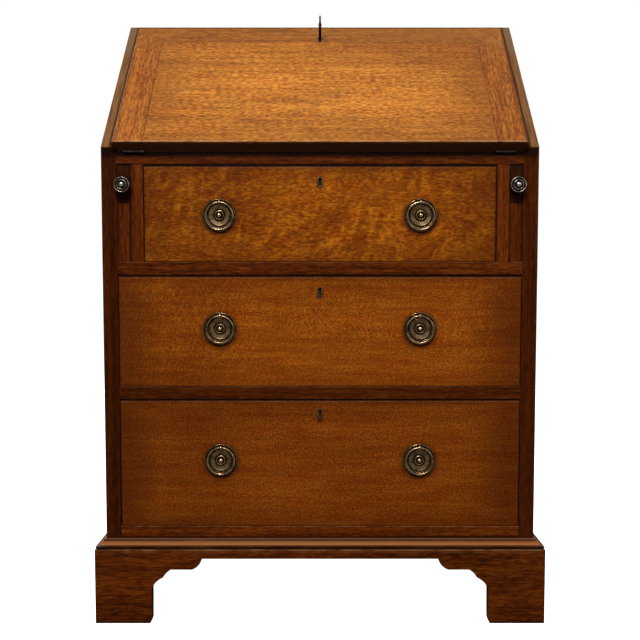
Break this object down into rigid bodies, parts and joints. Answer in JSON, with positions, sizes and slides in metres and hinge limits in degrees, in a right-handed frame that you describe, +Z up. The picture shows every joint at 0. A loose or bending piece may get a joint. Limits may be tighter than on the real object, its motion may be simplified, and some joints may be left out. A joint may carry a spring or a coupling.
{
  "type": "writing bureau",
  "caption": "Oak writing bureau on bracket feet: sloping hinged fall with key, pull-out lopers, long drawers with brass ring pulls.",
  "frame": {"origin": "centre of the bounding box at floor level", "axes": "+Z up from the floor, -Y out of the front that carries the fall and drawers, +X to the right seen from the front"},
  "size_m": [0.732, 0.4536, 1.023],
  "materials": {
    "oak_dark": "aged dark oak, waxed",
    "oak_fall": "warm oak, waxed",
    "oak_front": "quarter-sawn oak, waxed",
    "oak_lining": "dry unpolished oak",
    "pine": "raw aged pine",
    "brass": "antique brass, rubbed on the high parts",
    "iron": "dark iron"
  },
  "bodies": {
    "carcass": {"side_left": "oak_dark", "side_right": "oak_dark", "top_board": "oak_dark", "fall_strike": "brass", "desk_board": "oak_dark", "drawer_rails": "oak_dark", "bottom_rail": "oak_dark", "bottom_board": "pine", "drawer_runners": "pine", "dust_boards": "pine", "back_boards": "pine", "loper_stiles": "oak_dark", "loper_fillers": "oak_dark", "loper_guides": "pine", "drawer_stops": "pine", "base_moulding": "oak_dark", "plinth_front": "oak_dark", "plinth_sides": "oak_dark", "plinth_blocks": "pine", "pigeonhole_case": "oak_lining", "pigeonhole_dividers": "oak_lining", "hinge_leaves_desk": "brass"},
    "fall": {"fall_panel": "oak_fall", "fall_clamps": "oak_fall", "hinge_leaves_fall": "brass", "fall_lock": "brass"},
    "fall_bolt": {"fall_bolt": "iron"},
    "key": {"key": "iron"},
    "loper_left": {"loper_left": "oak_dark", "loper_knob_left": "brass"},
    "loper_right": {"loper_right": "oak_dark", "loper_knob_right": "brass"},
    "drawer_top": {"drawer_top_front": "oak_front", "drawer_top_sides": "oak_lining", "drawer_top_bottom": "oak_lining", "drawer_top_lock": "brass", "drawer_top_plates": "brass"},
    "drawer_top_bolt": {"drawer_top_bolt": "iron"},
    "drawer_top_ring_left": {"drawer_top_ring_left": "brass"},
    "drawer_top_ring_right": {"drawer_top_ring_right": "brass"},
    "drawer_middle": {"drawer_middle_front": "oak_front", "drawer_middle_sides": "oak_lining", "drawer_middle_bottom": "oak_lining", "drawer_middle_lock": "brass", "drawer_middle_plates": "brass"},
    "drawer_middle_bolt": {"drawer_middle_bolt": "iron"},
    "drawer_middle_ring_left": {"drawer_middle_ring_left": "brass"},
    "drawer_middle_ring_right": {"drawer_middle_ring_right": "brass"},
    "drawer_bottom": {"drawer_bottom_front": "oak_front", "drawer_bottom_sides": "oak_lining", "drawer_bottom_bottom": "oak_lining", "drawer_bottom_lock": "brass", "drawer_bottom_plates": "brass"},
    "drawer_bottom_bolt": {"drawer_bottom_bolt": "iron"},
    "drawer_bottom_ring_left": {"drawer_bottom_ring_left": "brass"},
    "drawer_bottom_ring_right": {"drawer_bottom_ring_right": "brass"},
    "small_drawer_left": {"small_drawer_left": "oak_lining"},
    "small_drawer_middle": {"small_drawer_middle": "oak_lining"},
    "small_drawer_right": {"small_drawer_right": "oak_lining"}
  },
  "joints": [
    {"name": "fall_hinge", "type": "hinge", "parent": "carcass", "child": "fall", "pos_m": [0, -0.20925, 0.764], "axis": [1, 0, 0], "range_deg": [0, 133.25]},
    {"name": "key_turn", "type": "hinge", "parent": "fall", "child": "key", "pos_m": [0, -0.02484, 0.98922], "axis": [0, -0.7284, 0.6852], "range_deg": [0, 180]},
    {"name": "fall_bolt_slide", "type": "slide", "parent": "fall", "child": "fall_bolt", "axis": [0, 0.6852, 0.7284], "range_m": [0, 0.007]},
    {"name": "loper_left_slide", "type": "slide", "parent": "carcass", "child": "loper_left", "axis": [0, -1, 0], "range_m": [0, 0.235]},
    {"name": "loper_right_slide", "type": "slide", "parent": "carcass", "child": "loper_right", "axis": [0, -1, 0], "range_m": [0, 0.235]},
    {"name": "drawer_top_slide", "type": "slide", "parent": "carcass", "child": "drawer_top", "axis": [0, -1, 0], "range_m": [0, 0.27]},
    {"name": "throw_bolt_top", "type": "slide", "parent": "drawer_top", "child": "drawer_top_bolt", "axis": [0, 0, -1], "range_m": [-0.006, 0]},
    {"name": "ring_top_left", "type": "hinge", "parent": "drawer_top", "child": "drawer_top_ring_left", "pos_m": [-0.1615, -0.21185, 0.6837], "axis": [-1, 0, 0], "range_deg": [0, 95]},
    {"name": "ring_top_right", "type": "hinge", "parent": "drawer_top", "child": "drawer_top_ring_right", "pos_m": [0.1615, -0.21185, 0.6837], "axis": [-1, 0, 0], "range_deg": [0, 95]},
    {"name": "drawer_middle_slide", "type": "slide", "parent": "carcass", "child": "drawer_middle", "axis": [0, -1, 0], "range_m": [0, 0.27]},
    {"name": "throw_bolt_middle", "type": "slide", "parent": "drawer_middle", "child": "drawer_middle_bolt", "axis": [0, 0, -1], "range_m": [-0.006, 0]},
    {"name": "ring_middle_left", "type": "hinge", "parent": "drawer_middle", "child": "drawer_middle_ring_left", "pos_m": [-0.1615, -0.21185, 0.5015], "axis": [-1, 0, 0], "range_deg": [0, 95]},
    {"name": "ring_middle_right", "type": "hinge", "parent": "drawer_middle", "child": "drawer_middle_ring_right", "pos_m": [0.1615, -0.21185, 0.5015], "axis": [-1, 0, 0], "range_deg": [0, 95]},
    {"name": "drawer_bottom_slide", "type": "slide", "parent": "carcass", "child": "drawer_bottom", "axis": [0, -1, 0], "range_m": [0, 0.27]},
    {"name": "throw_bolt_bottom", "type": "slide", "parent": "drawer_bottom", "child": "drawer_bottom_bolt", "axis": [0, 0, -1], "range_m": [-0.006, 0]},
    {"name": "ring_bottom_left", "type": "hinge", "parent": "drawer_bottom", "child": "drawer_bottom_ring_left", "pos_m": [-0.1615, -0.21185, 0.2867], "axis": [-1, 0, 0], "range_deg": [0, 95]},
    {"name": "ring_bottom_right", "type": "hinge", "parent": "drawer_bottom", "child": "drawer_bottom_ring_right", "pos_m": [0.1615, -0.21185, 0.2867], "axis": [-1, 0, 0], "range_deg": [0, 95]},
    {"name": "small_drawer_left_slide", "type": "slide", "parent": "carcass", "child": "small_drawer_left", "axis": [0, -1, 0], "range_m": [0, 0.12]},
    {"name": "small_drawer_middle_slide", "type": "slide", "parent": "carcass", "child": "small_drawer_middle", "axis": [0, -1, 0], "range_m": [0, 0.12]},
    {"name": "small_drawer_right_slide", "type": "slide", "parent": "carcass", "child": "small_drawer_right", "axis": [0, -1, 0], "range_m": [0, 0.12]}
  ],
  "couplings": [
    {"joint": "fall_bolt_slide", "follows": "key_turn", "m_per_rad": 0.0022}
  ]
}
